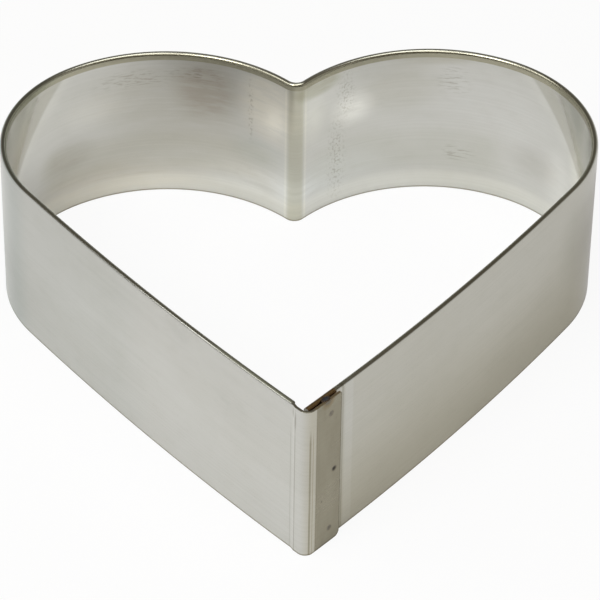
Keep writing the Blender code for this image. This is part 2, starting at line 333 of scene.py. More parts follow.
def lay_out(strip, lap):
    """The strip's run seen from above, as touching arcs from its end behind the lap round to the tab."""
    shoulder = Vector((strip.width / 2 - strip.shoulder_radius, 0))
    crown = shoulder + polar(strip.crown_join, strip.shoulder_radius - strip.crown_radius)
    cleft_reach = (strip.crown_radius + strip.cleft_radius) ** 2 - crown.x**2
    cleft = Vector((0, crown.y + math.sqrt(cleft_reach)))
    left_shoulder = Vector((-shoulder.x, shoulder.y))
    left_crown = Vector((-crown.x, crown.y))

    tip = Vector((strip.tip_aside, -strip.reach))
    behind_left = Vector((-strip.right_bow, strip.right_bow))
    behind_right = Vector((strip.left_bow, strip.left_bow))
    tip_radius = lap.tip_inner_radius + strip.sheet
    tab_bow = strip.right_bow + lap.lap_gap + strip.sheet
    right = meeting(tip, strip.right_bow, shoulder, strip.right_bow - strip.shoulder_radius, behind_left)
    left = meeting(tip, strip.left_bow, left_shoulder, strip.left_bow - strip.shoulder_radius, behind_right)
    nose = meeting(right, tab_bow - tip_radius, left, strip.left_bow + lap.crease_step - tip_radius, tip)

    lap_start = bearing(right, nose)
    to_corner = (lap.tip_inner_radius - lap.end_clearance) ** 2 - (lap.tip_inner_radius - lap.lap_gap) ** 2
    tuck = math.sqrt(max(to_corner, 0)) / strip.right_bow
    crown_end = bearing(crown, cleft)
    left_start = bearing(left, left_shoulder) % math.tau
    nose_start = bearing(left, nose) % math.tau

    middle = Vector((0, (crown.y + strip.crown_radius + nose.y - tip_radius) / 2))
    join = strip.crown_join
    runs = {
        "right_side": (right, strip.right_bow, lap_start - tuck, bearing(right, shoulder), 1),
        "right_shoulder": (shoulder, strip.shoulder_radius, bearing(right, shoulder), join, 1),
        "right_crown": (crown, strip.crown_radius, join, crown_end, 1),
        "cleft": (cleft, strip.cleft_radius, crown_end - math.pi, -crown_end, -1),
        "left_crown": (left_crown, strip.crown_radius, math.pi - crown_end, math.pi - join, 1),
        "left_shoulder": (left_shoulder, strip.shoulder_radius, math.pi - join, left_start, 1),
        "left_side": (left, strip.left_bow, left_start, nose_start, 1),
        "nose": (nose, tip_radius, nose_start, lap_start + math.tau, 1),
        "tab": (right, tab_bow, lap_start, lap_start + lap.tab_length / tab_bow, 1),
    }
    return {name: Arc(centre - middle, *rest) for name, (centre, *rest) in runs.items()}


class Strip:
    """The sheet's outer face as it grows: each step spins the upright line of its last edge round an arc."""

    turn_step = math.radians(1.5)
    bend_step = math.radians(7.5)
    longest_step = 4 * MM
    wall_bands = 12
    fold_bands = 16
    flap_bands = 2

    def __init__(self, strip, lap):
        self.sizes = strip
        self.lap = lap
        self.run = lay_out(strip, lap)
        self.bm = bmesh.new()
        self.along = self.bm.verts.layers.float.new(ALONG)
        self.across = self.bm.verts.layers.float.new(ACROSS)
        self.travelled = 0.0
        self.marks = {}
        self.front = self.draw_section(self.run["right_side"])

    def draw_section(self, arc):
        """The hemmed wall's outer face as a line of edges: up the wall, over the fold and down the flap."""
        outwards = polar(arc.start).to_3d() * arc.facing
        foot = (arc.centre + polar(arc.start, arc.radius)).to_3d()
        radius = self.sizes.sheet + self.sizes.hem_gap / 2
        roof = self.sizes.height - radius
        vert = bmesh.ops.create_vert(self.bm, co=foot)["vert"][0]
        for _ in range(self.wall_bands):
            vert = self.grow(vert, Vector((0, 0, roof / self.wall_bands)))
        fold = bmesh.ops.spin(
            self.bm, geom=[vert], cent=vert.co - outwards * radius, axis=outwards.cross(Vector((0, 0, 1))),
            angle=math.pi, steps=self.fold_bands, use_duplicate=False)
        vert = next(item for item in fold["geom_last"] if isinstance(item, bmesh.types.BMVert))
        for _ in range(self.flap_bands):
            vert = self.grow(vert, Vector((0, 0, -self.sizes.hem_flap / self.flap_bands)))
        self.bm.verts.ensure_lookup_table()
        run_up = 0.0
        for last, vert in zip(self.bm.verts, self.bm.verts[1:]):
            run_up += (vert.co - last.co).length
            vert[self.across] = run_up
        return list(self.bm.edges)

    def grow(self, vert, step):
        """One more vertex at the end of the line."""
        fresh = bmesh.ops.extrude_vert_indiv(self.bm, verts=[vert])["verts"]
        bmesh.ops.translate(self.bm, verts=fresh, vec=step)
        return fresh[0]

    def verts(self):
        """The vertices of the last edge line."""
        return list({vert for edge in self.front for vert in edge.verts})

    def turn(self, arc, angle, steps=1, proud=0.0):
        """Spins the line on round an arc. proud is how far it steps outwards meanwhile."""
        rings = []
        for _ in range(steps):
            middle = sum((vert.co for vert in self.verts()), Vector()) / len(self.verts())
            outwards = (middle.xy - arc.centre).normalized().to_3d()
            spun = bmesh.ops.spin(
                self.bm, geom=self.front, cent=arc.centre.to_3d(), axis=(0, 0, 1),
                dvec=outwards * proud / steps, angle=angle / steps, steps=1, use_duplicate=False)
            self.front = [item for item in spun["geom_last"] if isinstance(item, bmesh.types.BMEdge)]
            self.travelled += abs(angle / steps) * arc.radius
            for vert in self.verts():
                vert[self.along] = self.travelled
            rings.append(self.verts())
        return rings

    def follow(self, name, start=None, end=None):
        """Spins the line round an arc of the plan, or a stretch of it, in steps that suit the bend."""
        arc = self.run[name]
        self.marks.setdefault(name, self.travelled)
        start = arc.start if start is None else start
        end = arc.end if end is None else end
        bend = self.bend_step if name in ("cleft", "nose") else self.turn_step
        turned = abs(end - start)
        steps = max(math.ceil(turned / bend), math.ceil(turned * arc.radius / self.longest_step), 1)
        return self.turn(arc, end - start, steps)

    def open_hem(self, arc):
        """Ends the hem: only the wall goes on, and the first half of the fold straightens up into it."""
        radius = self.sizes.sheet + self.sizes.hem_gap / 2
        roof = self.sizes.height - radius
        crown = roof + math.pi / 2 * radius + self.sizes.edge_break / 10
        self.front = [edge for edge in self.front if all(vert[self.across] <= crown for vert in edge.verts)]
        self.turn(arc, self.lap.notch_run / arc.radius)
        for vert in self.verts():
            if vert[self.across] > roof:
                outwards = (vert.co.xy - arc.centre).normalized()
                face = arc.centre + outwards * arc.radius
                vert[self.across] = roof + (vert[self.across] - roof) / (math.pi / 2)
                vert.co = (face.x, face.y, vert[self.across])

    def round_end(self, arc, steps=6):
        """Ends the tab with a round corner at the foot and a smaller one at the top."""
        widest = self.lap.foot_corner
        last = 0.0
        for step in range(1, steps + 1):
            done = widest * math.sin(math.pi / 2 * step / steps)
            self.turn(arc, (done - last) / arc.radius)
            last = done
            foot = corner_cut(widest - done, self.lap.foot_corner)
            top = corner_cut(widest - done, self.lap.top_corner)
            for vert in self.verts():
                vert.co.z = foot + vert[self.across] * (1 - (foot + top) / self.sizes.height)

    def build(self):
        """The whole strip, from its square end behind the lap to the tab's free edge."""
        for name in ("right_side", "right_shoulder", "right_crown", "cleft", "left_crown", "left_shoulder"):
            self.follow(name)
        left = self.run["left_side"]
        notch = left.end - self.lap.hem_notch / left.radius
        self.follow("left_side", end=notch)
        self.open_hem(left)
        crease = left.end - self.lap.crease_start / left.radius
        self.follow("left_side", notch + self.lap.notch_run / left.radius, crease)
        self.turn(left, self.lap.crease_run / left.radius, 5, self.lap.crease_step)
        self.follow("left_side", crease + self.lap.crease_run / left.radius)
        self.follow("nose")
        tab = self.run["tab"]
        self.follow("tab", end=tab.end - self.lap.foot_corner / tab.radius)
        self.round_end(tab)


def corner_cut(distance, radius):
    """How far a round corner has cut in at a distance from the free edge."""
    if distance >= radius:
        return 0.0
    return radius - math.sqrt(radius**2 - (radius - distance) ** 2)


def thicken(bm, sheet):
    """Gives the outer face its thickness inwards, and tells outer face, inner face and cut edges apart."""
    outer = list(bm.faces)
    border = [edge for edge in bm.edges if edge.is_boundary]
    bmesh.ops.solidify(bm, geom=outer, thickness=sheet)
    outer = set(outer)
    for face in bm.faces:
        face.material_index = OUTER if face in outer else INNER
    for edge in border:
        for face in edge.link_faces:
            if face not in outer:
                face.material_index = CUT


def break_edges(bm, strip, start_of_plain, along):
    """Rounds the cut edges: fully along the plain top edge, and slightly elsewhere."""
    crown = strip.height - 0.01 * MM
    cut = [edge for edge in bm.edges if edge.is_manifold and edge.calc_face_angle(0) > SQUARE_EDGE]
    plain_top = [
        edge for edge in cut
        if all(vert.co.z > crown and vert[along] > start_of_plain for vert in edge.verts)]
    bmesh.ops.bevel(
        bm, geom=plain_top, offset=strip.sheet * PLAIN_EDGE_SHARE, offset_type="OFFSET", segments=4,
        profile=0.5, affect="EDGES", material=-1, clamp_overlap=True)
    cut = [edge for edge in bm.edges if edge.is_manifold and edge.calc_face_angle(0) > SQUARE_EDGE]
    bmesh.ops.bevel(
        bm, geom=cut, offset=strip.edge_break, offset_type="OFFSET", segments=2, profile=0.5,
        affect="EDGES", material=-1, clamp_overlap=True)


def finish_mesh(name, bm, materials):
    """Turns a bmesh into a smooth-shaded object of the scene."""
    mesh = bpy.data.meshes.new(name)
    bm.to_mesh(mesh)
    bm.free()
    mesh.shade_smooth()
    for material in materials:
        mesh.materials.append(material)
    piece = bpy.data.objects.new(name, mesh)
    bpy.context.scene.collection.objects.link(piece)
    return piece


def settle(piece):
    """Applies a piece's modifiers, so that its mesh holds the final shape."""
    graph = bpy.context.evaluated_depsgraph_get()
    settled = bpy.data.meshes.new_from_object(
        piece.evaluated_get(graph), preserve_all_data_layers=True, depsgraph=graph)
    piece.modifiers.clear()
    piece.data = settled


def lap_frame(run, from_free_edge, height, outwards):
    """Axes on the tab's outer face: X along it towards the tip, Y away from the ring, Z up."""
    tab = run["tab"]
    angle = tab.end - from_free_edge / tab.radius
    spot = tab.centre + polar(angle, tab.radius + outwards)
    return Matrix.Translation((spot.x, spot.y, height)) @ Matrix.Rotation(angle - math.pi / 2, 4, "Z")


def add(tree, kind, inputs=None, **settings):
    """Adds a node to a tree. Each input is a value, or the socket that feeds it."""
    made = tree.nodes.new(kind)
    for name, value in settings.items():
        setattr(made, name, value)
    for key, value in (inputs or {}).items():
        if isinstance(value, bpy.types.NodeSocket):
            tree.links.new(value, made.inputs[key])
        else:
            made.inputs[key].default_value = value
    return made


def calculate(tree, operation, *values):
    """Socket of a sum on one to three values."""
    return add(tree, "ShaderNodeMath", dict(enumerate(values)), operation=operation).outputs[0]


def fade(tree, value, low, high, to_low=0.0, to_high=1.0):
    """Socket that turns smoothly from one value to another as its input goes from low to high."""
    inputs = {0: value, 1: low, 2: high, 3: to_low, 4: to_high}
    return add(tree, "ShaderNodeMapRange", inputs, interpolation_type="SMOOTHSTEP").outputs[0]


def tint(tree, share, first, second, mode="MIX"):
    """Socket of two colours mixed."""
    inputs = {0: share, 6: first, 7: second}
    return add(tree, "ShaderNodeMix", inputs, data_type="RGBA", blend_type=mode).outputs[2]


def new_group(name, inputs, outputs):
    """An empty node group with named sockets: the group, the sockets to read and those to fill."""
    group = bpy.data.node_groups.new(name, "ShaderNodeTree")
    for label, (kind, value) in inputs.items():
        group.interface.new_socket(label, in_out="INPUT", socket_type=kind).default_value = value
    for label, kind in outputs.items():
        group.interface.new_socket(label, in_out="OUTPUT", socket_type=kind)
    return group, group.nodes.new("NodeGroupInput").outputs, group.nodes.new("NodeGroupOutput").inputs


def use_group(tree, name, inputs):
    """Places a node group in a material with its own values."""
    return add(tree, "ShaderNodeGroup", inputs, node_tree=bpy.data.node_groups[name]).outputs


def make_marks_group():
    """Noise drawn out to a length and a width on the strip: grain, streaks, clouds and scuffs."""
    sockets = {
        "Place": ("NodeSocketVector", (0, 0, 0)),
        "Length": ("NodeSocketFloat", 10 * MM),
        "Width": ("NodeSocketFloat", 1 * MM),
        "Seed": ("NodeSocketFloat", 0),
        "Low": ("NodeSocketFloat", 0.3),
        "High": ("NodeSocketFloat", 0.7),
    }
    group, given, result = new_group("sheet_marks", sockets, {"Mask": "NodeSocketFloat"})
    place = add(group, "ShaderNodeSeparateXYZ", {0: given["Place"]}).outputs
    drawn = add(group, "ShaderNodeCombineXYZ", {
        0: calculate(group, "DIVIDE", place[0], given["Length"]),
        1: calculate(group, "DIVIDE", place[1], given["Width"]),
        2: given["Seed"],
    }).outputs[0]
    noise = add(group, "ShaderNodeTexNoise", {"Vector": drawn, "Scale": 1, "Detail": 3, "Roughness": 0.55})
    mask = fade(group, noise.outputs[0], given["Low"], given["High"])
    group.links.new(mask, result["Mask"])


def make_patch_group():
    """A soft oval at one place on the strip."""
    sockets = {
        "Place": ("NodeSocketVector", (0, 0, 0)),
        "Along": ("NodeSocketFloat", 0),
        "Across": ("NodeSocketFloat", 0),
        "Half length": ("NodeSocketFloat", 10 * MM),
        "Half height": ("NodeSocketFloat", 10 * MM),
        "Softness": ("NodeSocketFloat", 0.5),
    }
    group, given, result = new_group("sheet_patch", sockets, {"Mask": "NodeSocketFloat"})
    place = add(group, "ShaderNodeSeparateXYZ", {0: given["Place"]}).outputs
    sides = [
        calculate(group, "DIVIDE", calculate(group, "SUBTRACT", place[axis], given[centre]), given[half])
        for axis, centre, half in ((0, "Along", "Half length"), (1, "Across", "Half height"))]
    squares = [calculate(group, "POWER", calculate(group, "ABSOLUTE", side), 2.0) for side in sides]
    distance = calculate(group, "SQRT", calculate(group, "ADD", *squares))
    inner = calculate(group, "SUBTRACT", 1.0, given["Softness"])
    outer = calculate(group, "ADD", 1.0, given["Softness"])
    mask = fade(group, distance, inner, outer, 1.0, 0.0)
    group.links.new(mask, result["Mask"])


def make_heat_group():
    """Colours that welding heat leaves round a weld: straw outside, brown, then blue grey."""
    sockets = {
        "Colour": ("NodeSocketColor", (0.6, 0.6, 0.6, 1)),
        "Place": ("NodeSocketVector", (0, 0, 0)),
        "Along": ("NodeSocketFloat", 0),
        "Across": ("NodeSocketFloat", 0),
        "Reach": ("NodeSocketFloat", 4 * MM),
        "Strength": ("NodeSocketFloat", 1),
    }
    group, given, result = new_group("heat_tint", sockets, {"Colour": "NodeSocketColor"})
    place = add(group, "ShaderNodeSeparateXYZ", {0: given["Place"]}).outputs
    offsets = [
        calculate(group, "SUBTRACT", place[axis], given[centre])
        for axis, centre in ((0, "Along"), (1, "Across"))]
    ragged = add(group, "ShaderNodeTexNoise", {"Vector": given["Place"], "Scale": 900, "Detail": 2})
    distance = calculate(group, "SQRT", calculate(
        group, "ADD", calculate(group, "POWER", calculate(group, "ABSOLUTE", offsets[0]), 2.0),
        calculate(group, "POWER", calculate(group, "ABSOLUTE", offsets[1]), 2.0)))
    share = calculate(group, "DIVIDE", distance, given["Reach"])
    share = calculate(group, "ADD", share, calculate(group, "MULTIPLY_ADD", ragged.outputs[0], 0.4, -0.2))
    ramp = add(group, "ShaderNodeValToRGB", {0: share})
    stops = (
        (0.0, (0.25, 0.27, 0.33)), (0.3, (0.35, 0.28, 0.26)), (0.6, (0.75, 0.58, 0.36)), (1.0, (1, 1, 1)))
    for place_on_ramp, colour in stops[1:-1]:
        ramp.color_ramp.elements.new(place_on_ramp).color = (*colour, 1)
    ramp.color_ramp.elements[0].color = (*stops[0][1], 1)
    ramp.color_ramp.elements[-1].color = (*stops[-1][1], 1)
    colour = tint(group, given["Strength"], given["Colour"], ramp.outputs[0], "MULTIPLY")
    group.links.new(colour, result["Colour"])


def new_material(name):
    """A material with nodes: itself, its tree and its shader."""
    material = bpy.data.materials.new(name)
    material.use_nodes = True
    return material, material.node_tree, material.node_tree.nodes["Principled BSDF"]


class Sheet:
    """The node tree of one face of the sheet: colour and roughness are layered, then given to the shader."""

    def __init__(self, name, colour, roughness, seed):
        self.material, self.tree, self.shader = new_material(name)
        self.shader.inputs["Metallic"].default_value = 1
        self.shader.inputs["Anisotropic"].default_value = 0.3
        self.shader.inputs["Anisotropic Rotation"].default_value = 0.25
        self.along = add(self.tree, "ShaderNodeAttribute", attribute_name=ALONG).outputs["Fac"]
        self.across = add(self.tree, "ShaderNodeAttribute", attribute_name=ACROSS).outputs["Fac"]
        self.place = add(
            self.tree, "ShaderNodeCombineXYZ", {0: self.along, 1: self.across, 2: 0.0}).outputs[0]
        self.colour = add(self.tree, "ShaderNodeRGB").outputs[0]
        self.colour.default_value = (*colour, 1)
        self.roughness = roughness
        self.height = 0.0
        self.seed = seed

    def marks(self, length, width, low=0.3, high=0.7, seed=0.0):
        """Mask of noise with features of a length and a width."""
        inputs = {
            "Place": self.place, "Length": length, "Width": width, "Seed": self.seed + seed, "Low": low,
            "High": high}
        return use_group(self.tree, "sheet_marks", inputs)["Mask"]

    def patch(self, along, across, half_length, half_height, softness=0.5):
        """Mask of one soft oval."""
        inputs = {
            "Place": self.place, "Along": along, "Across": across, "Half length": half_length,
            "Half height": half_height, "Softness": softness}
        return use_group(self.tree, "sheet_patch", inputs)["Mask"]

    def between(self, socket, start, end, edge):
        """Mask of a stretch of the strip, with soft ends."""
        rise = fade(self.tree, socket, start - edge, start + edge)
        fall = fade(self.tree, socket, end - edge, end + edge, 1.0, 0.0)
        return calculate(self.tree, "MULTIPLY", rise, fall)

    def part(self, mask, share):
        """A mask made fainter."""
        return calculate(self.tree, "MULTIPLY", mask, share)

    def both(self, first, second):
        """Where two masks meet."""
        return calculate(self.tree, "MULTIPLY", first, second)

    def stain(self, mask, share, colour):
        """Multiplies the colour by another where the mask is."""
        self.colour = tint(self.tree, self.part(mask, share), self.colour, (*colour, 1), "MULTIPLY")

    def roughen(self, mask, amount):
        """Makes the face rougher, or smoother, where the mask is."""
        self.roughness = calculate(self.tree, "MULTIPLY_ADD", mask, amount, self.roughness)

    def raise_by(self, mask, amount):
        """Raises or lowers the face where the mask is, in metres."""
        self.height = calculate(self.tree, "MULTIPLY_ADD", mask, amount, self.height)

    def heat(self, along, across, reach, strength):
        """Heat tint round a weld."""
        inputs = {
            "Colour": self.colour, "Place": self.place, "Along": along, "Across": across, "Reach": reach,
            "Strength": strength}
        self.colour = use_group(self.tree, "heat_tint", inputs)["Colour"]

    def finish(self):
        """Gives the layers to the shader."""
        bump = add(self.tree, "ShaderNodeBump", {"Strength": 1, "Distance": 1, "Height": self.height})
        self.tree.links.new(self.colour, self.shader.inputs["Base Color"])
        self.tree.links.new(self.roughness, self.shader.inputs["Roughness"])
        self.tree.links.new(bump.outputs[0], self.shader.inputs["Normal"])
        return self.material


def lay_rolling(sheet):
    """What both faces of the sheet have from the rolling mill and from handling."""
    grain = sheet.marks(24 * MM, 0.09 * MM, 0.2, 0.8)
    lines = sheet.marks(70 * MM, 0.7 * MM, 0.25, 0.75, 3)
    clouds = sheet.marks(38 * MM, 24 * MM, 0.3, 0.75, 7)
    blotches = sheet.marks(7 * MM, 5 * MM, 0.45, 0.8, 11)
    scratches = sheet.marks(2.4 * MM, 0.1 * MM, 0.74, 0.8, 17)
    sheet.stain(lines, 0.7, (0.93, 0.93, 0.925))
    sheet.stain(clouds, 0.6, (0.93, 0.925, 0.905))
    sheet.stain(blotches, 0.35, (0.93, 0.925, 0.91))
    sheet.stain(scratches, 0.5, (0.75, 0.74, 0.71))
    sheet.roughen(grain, 0.03)
    sheet.roughen(clouds, 0.04)
    sheet.roughen(blotches, 0.03)
    sheet.raise_by(grain, 0.0012 * MM)
    sheet.raise_by(sheet.marks(30 * MM, 18 * MM, 0.2, 0.8, 23), 0.05 * MM)


def on_fold(sheet, height):
    """Mask of the folded rim."""
    return fade(sheet.tree, sheet.across, *(height + edge for edge in FOLD_FADE))


def lay_foot_and_rim_shade(sheet, height):
    """Painted shade: a darker line along the foot as a painted contact shadow, and the folded rim darker as a
    painted dark reflection, and rougher, with its flap painted paler.
    """
    # Painted contact shadow along the foot
    foot = fade(sheet.tree, sheet.across, 0.35 * MM, 0.75 * MM, 1.0, 0.0)
    sheet.stain(foot, 0.85, (0.5, 0.48, 0.4))
    # Painted shade on the fold, a dark reflection line; the fold is also rougher
    fold = on_fold(sheet, height)
    sheet.stain(fold, 1.0, (0.56, 0.56, 0.5))
    sheet.roughen(fold, 0.12)
    # The flap painted paler
    flap = fade(sheet.tree, sheet.across, height + 1 * MM, height + 1.5 * MM)
    sheet.stain(flap, 1.0, (1.21, 1.16, 1.05))


def lay_lap_top(sheet, height, start, end):
    """Brown that the tack weld's heat left along a stretch of the lap's top edge."""
    near_top = fade(sheet.tree, sheet.across, height - 2.4 * MM, height - 0.4 * MM)
    stretch = sheet.between(sheet.along, start, end, 0.7 * MM)
    ragged = sheet.marks(1.6 * MM, 1.2 * MM, -0.2, 0.4, 51)
    burnt = sheet.both(sheet.both(near_top, stretch), ragged)
    sheet.stain(burnt, 0.95, (0.4, 0.24, 0.1))
    sheet.roughen(burnt, 0.2)


def lay_tab(sheet, tab_tint_and_shade, tab):
    """The tab: browner than the walls, partly from heat and handling and partly as painted shade, and
    rougher, with finger marks and one pit.
    """
    on_tab = fade(sheet.tree, sheet.along, tab + 0.7 * MM, tab + 1.4 * MM)
    sheet.stain(on_tab, 1.0, tab_tint_and_shade)
    sheet.roughen(on_tab, 0.16)
    handled = sheet.both(on_tab, sheet.marks(5 * MM, 26 * MM, 0.35, 0.75, 31))
    sheet.stain(handled, 0.8, (0.88, 0.87, 0.85))
    sheet.stain(sheet.between(sheet.along, tab + 0.9 * MM, tab + 1.4 * MM, 0.2 * MM), 0.8, (0.84, 0.84, 0.8))
    dot = sheet.patch(tab + 3.9 * MM, 19.5 * MM, 0.35 * MM, 0.45 * MM, 0.6)
    sheet.stain(dot, 0.6, (0.45, 0.43, 0.4))


def lay_nose(sheet, nose, height):
    """Lines and nicks that folding the strip round the tip left on the nose, and painted shade on the hem
    beside it, which is also rougher.
    """
    # Painted shade: the fold darker near the tip, where a lamp's glint would show
    shaded_hem = sheet.both(
        on_fold(sheet, height), sheet.between(sheet.along, nose - 40 * MM, nose, 6 * MM))
    sheet.stain(shaded_hem, 1.0, (0.6, 0.6, 0.54))
    sheet.roughen(shaded_hem, 0.25)
    warm = sheet.between(sheet.along, nose + 2.4 * MM, nose + 60 * MM, 2.2 * MM)
    sheet.stain(warm, 1.0, (0.88, 0.85, 0.77))
    below_rim = fade(sheet.tree, sheet.across, 46 * MM, 54 * MM, 1.0, 0.0)
    for from_nose, width, share, tone in NOSE_LINES:
        line = sheet.between(sheet.along, nose + from_nose, nose + from_nose + width, 0.15 * MM)
        worn = sheet.both(sheet.both(line, below_rim), sheet.marks(0.9 * MM, 16 * MM, 0.15, 0.5, 37))
        sheet.stain(worn, share, tone)
    for from_nose, across, half_length, half_height in NOSE_NICKS:
        nick = sheet.patch(nose + from_nose, across, half_length, half_height, 0.7)
        sheet.stain(nick, 0.65, (0.5, 0.48, 0.43))


def lay_stretches(sheet, stretches):
    """Stains stretches of the strip, each with its own tone."""
    for start, end, softness, share, tone in stretches:
        sheet.stain(sheet.between(sheet.along, start, end, softness), share, tone)


def outer_finish(finish, strip, welds):
    """Outer face: the browner tab, partly painted shade, the right wall with a painted reflection of the
    ring's shadow, the nose's marks of bending, a painted shadow and highlight by the tab, and heat round the
    welds.
    """
    sheet = Sheet("outer_face", finish.steel, finish.roughness, 0.0)
    height = strip.sizes.height
    lap = strip.lap
    lay_rolling(sheet)
    lay_foot_and_rim_shade(sheet, height)
    nose = strip.marks["nose"]
    lay_tab(sheet, finish.tab_tint_and_shade, strip.marks["tab"])
    lay_nose(sheet, nose, height)
    # Painted shadow: a darker line along the tab's free edge
    free_edge_shadow = fade(sheet.tree, sheet.along, strip.travelled - 0.45 * MM, strip.travelled - 0.1 * MM)
    sheet.stain(free_edge_shadow, 0.9, (0.55, 0.54, 0.48))
    lay_stretches(sheet, BESIDE_TAB_SHADOW_AND_HIGHLIGHT)
    # Painted reflection of the ring's shadow on the floor: the right wall darker, and darker and warmer
    # towards its foot
    right_wall = fade(sheet.tree, sheet.along, 150 * MM, 172 * MM, 1.0, 0.0)
    sheet.stain(right_wall, 1.0, (0.93, 0.92, 0.88))
    reflected_floor_shadow = sheet.both(right_wall, fade(sheet.tree, sheet.across, 0, 52 * MM, 1.0, 0.0))
    sheet.stain(reflected_floor_shadow, 1.0, (0.85, 0.82, 0.74))
    # Painted shade: a darker oval near the right wall's end
    shaded_end = sheet.patch(146 * MM, 36 * MM, 9 * MM, 15 * MM, 0.7)
    sheet.stain(shaded_end, 1.0, (0.88, 0.88, 0.87))
    lay_stretches(sheet, OUTER_STRETCHES)
    for back, across in SMUDGES:
        smudge = sheet.both(
            sheet.patch(nose - back, across, 6 * MM, 4 * MM, 0.9),
            sheet.marks(9 * MM, 5 * MM, 0.3, 0.7, 43))
        sheet.stain(smudge, 0.6, (0.88, 0.88, 0.87))
    lay_lap_top(sheet, height, -1 * MM, lap.tab_length + 0.6 * MM)
    for weld, (along, across) in welds.items():
        reach, strength = (3.4 * MM, 0.6) if weld == "tack" else (1.7 * MM, 0.15)
        sheet.heat(along, across, reach, strength)
    return sheet.finish()


def lay_lobe_reflections(sheet, cleft):
    """Painted reflections on the lobes' inside: smoky and paler patches, broad grey bands and a pale band
    along the foot. Places are from the cleft.
    """
    uneven = fade(sheet.tree, sheet.marks(12 * MM, 2.5 * MM, 0.25, 0.65, 59), 0, 1, 0.7, 1.1)
    for mark in (LobeReflection(*row) for row in LOBE_REFLECTIONS):
        mask = sheet.patch(
            cleft + mark.aside * MM, mark.across * MM, mark.half_length * MM, mark.half_height * MM,
            mark.softness)
        sheet.stain(sheet.both(mask, uneven), 1.0, mark.tone)
    cloudy = sheet.marks(26 * MM, 9 * MM, 0.2, 0.6, 61)
    for start, end, tone in LOBE_SHADOW_REFLECTIONS:
        band = sheet.both(
            sheet.between(sheet.across, 9.5 * MM, 25.5 * MM, 4 * MM),
            sheet.between(sheet.along, cleft + start, cleft + end, 6 * MM))
        sheet.stain(sheet.both(band, fade(sheet.tree, cloudy, 0, 1, 0.6, 1.0)), 1.0, tone)
    # Painted reflection of lit floor: a paler band along the foot
    foot = sheet.between(sheet.across, 0.8 * MM, 7.4 * MM, 2.2 * MM)
    sheet.stain(foot, 1.0, (1.15, 1.15, 1.13))
    # A darker streaky line along the top of that pale band
    foot_band_streak = sheet.both(
        sheet.between(sheet.across, 7.8 * MM, 8.4 * MM, 0.4 * MM),
        sheet.patch(cleft + 62 * MM, 8 * MM, 14 * MM, 10 * MM, 0.5))
    sheet.stain(sheet.both(foot_band_streak, sheet.marks(9 * MM, 0.3 * MM, 0.4, 0.6, 67)), 0.5, (0.78, 0.76, 0.7))


def lay_lobe_end_reflections(sheet, cleft):
    """The lobes' ends: a painted reflection of the walls, darker and warmer beyond a slanting edge, with a
    painted paler strip on this side of it.
    """
    for end in LOBE_END_REFLECTIONS:
        aside = calculate(sheet.tree, "MULTIPLY_ADD", sheet.along, end.side, -end.side * cleft)
        edge = calculate(
            sheet.tree, "MULTIPLY_ADD", sheet.across, -end.lean, end.aside + end.lean * end.across)
        beyond = calculate(sheet.tree, "SUBTRACT", aside, edge)
        darker_reflection = sheet.both(fade(sheet.tree, beyond, -0.6 * MM, 1.4 * MM), fade(
            sheet.tree, beyond, 6 * MM, 15 * MM, 1.0, 0.0))
        sheet.stain(darker_reflection, 1.0, (0.84, 0.825, 0.785))
        paler = sheet.both(
            sheet.between(beyond, -8 * MM, -0.5 * MM, 1 * MM), fade(sheet.tree, beyond, -8 * MM, 0))
        sheet.stain(paler, 1.0, (1.06, 1.06, 1.05))


def lay_scuffs(sheet, cleft):
    """Short strokes that rubbing left on the inside, and the fine ripples of bending."""
    for mark in SCUFFS:
        patch = sheet.patch(
            cleft + mark.aside, mark.across, mark.half_length, mark.half_height, mark.softness)
        strokes = sheet.both(patch, sheet.marks(mark.stroke, mark.pitch, 0.5, 0.62, 71))
        sheet.stain(strokes, 0.8, (0.7, 0.68, 0.64))
        sheet.raise_by(sheet.both(patch, sheet.marks(mark.stroke, mark.pitch, 0.3, 0.7, 73)), 0.008 * MM)


def inner_finish(finish, strip):
    """Inner face: painted reflections in the lobes, painted beige shade and highlight lines on the bend
    between them, and the scuffs of bending.
    """
    sheet = Sheet("inner_face", finish.steel, finish.roughness, 40.0)
    height = strip.sizes.height
    lay_rolling(sheet)
    lay_foot_and_rim_shade(sheet, height)
    arc = strip.run["cleft"]
    half_bend = abs(arc.end - arc.start) * arc.radius / 2
    cleft = strip.marks["cleft"] + half_bend
    lay_lobe_reflections(sheet, cleft)
    lay_lobe_end_reflections(sheet, cleft)
    lay_scuffs(sheet, cleft)
    # Painted shade: the bend between the lobes darker and beige
    bend = sheet.between(sheet.along, cleft - half_bend, cleft + half_bend, 0.9 * MM)
    sheet.stain(bend, 1.0, (0.83, 0.82, 0.74))
    # Painted highlight lines along both sides of that bend
    for side in (-1, 1):
        line = cleft + side * (half_bend + 0.9 * MM)
        edge = sheet.between(sheet.along, line - 0.4 * MM, line + 0.4 * MM, 0.35 * MM)
        sheet.stain(edge, 0.8, (1.1, 1.09, 1.05))
    tab = strip.marks["tab"]
    lay_lap_top(sheet, height, tab - 1 * MM, strip.travelled + 1 * MM)
    return sheet.finish()


def cut_finish(finish, strip):
    """Sheared edges: short strokes across the thickness, and tan along the lap where heat reached."""
    sheet = Sheet("cut_edge", finish.edge, 0.3, 80.0)
    strokes = sheet.marks(0.25 * MM, 8 * MM, 0.3, 0.7)
    sheet.stain(strokes, 0.6, (0.75, 0.74, 0.72))
    sheet.roughen(strokes, 0.1)
    top = fade(sheet.tree, sheet.across, strip.sizes.height - 2 * MM, strip.sizes.height - 1 * MM)
    lap = fade(sheet.tree, sheet.along, strip.marks["tab"] - 1 * MM, strip.marks["tab"] + 1 * MM)
    sheet.stain(sheet.both(top, lap), 0.9, (0.62, 0.49, 0.28))
    nose = strip.marks["nose"]
    round_tip = sheet.between(sheet.along, nose - 9 * MM, strip.marks["tab"], 0.8 * MM)
    sheet.stain(sheet.both(top, round_tip), 0.9, (0.42, 0.4, 0.31))
    return sheet.finish()


